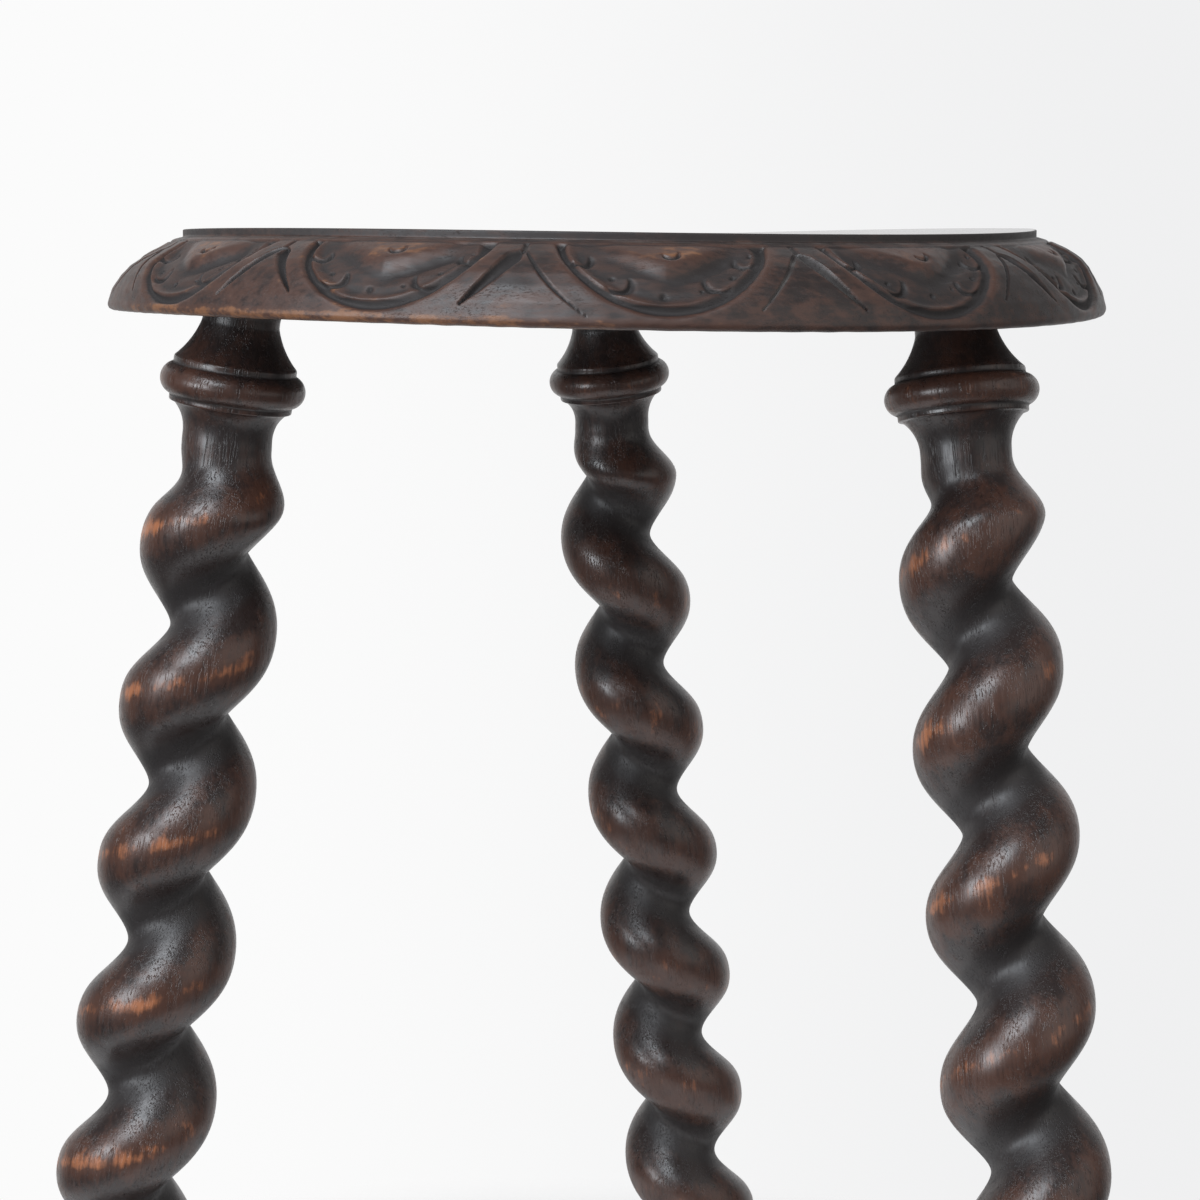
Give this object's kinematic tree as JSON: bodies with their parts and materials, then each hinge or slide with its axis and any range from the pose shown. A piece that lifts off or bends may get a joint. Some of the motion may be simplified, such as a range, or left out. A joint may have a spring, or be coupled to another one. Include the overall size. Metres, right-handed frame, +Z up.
{
  "type": "spindle stool",
  "caption": "Round oak stool with a moulded, carved rim on splayed barley-twist legs with bun feet, to sit on or to stand a pot on.",
  "frame": {"origin": "middle of the footprint, on the floor", "axes": "+Z up, -Y to the side with two legs that the picture is taken from, +X to the right of that view; the seat's axis stands 12.5 mm towards +X and 17.2 mm towards -Y of the origin"},
  "size_m": [0.3451, 0.3394, 0.45],
  "materials": {
    "stained_oak": "dark stain under a worn satin wax polish",
    "bare_oak": "plain, glued in"
  },
  "bodies": {
    "root": {"seat_front_board": "stained_oak", "seat_rear_board": "stained_oak", "seat_dowel_left": "bare_oak", "seat_dowel_middle": "bare_oak", "seat_dowel_right": "bare_oak", "leg_left": "stained_oak", "leg_right": "stained_oak", "leg_rear": "stained_oak", "wedge_left": "bare_oak", "wedge_right": "bare_oak", "wedge_rear": "bare_oak"}
  },
  "joints": []
}
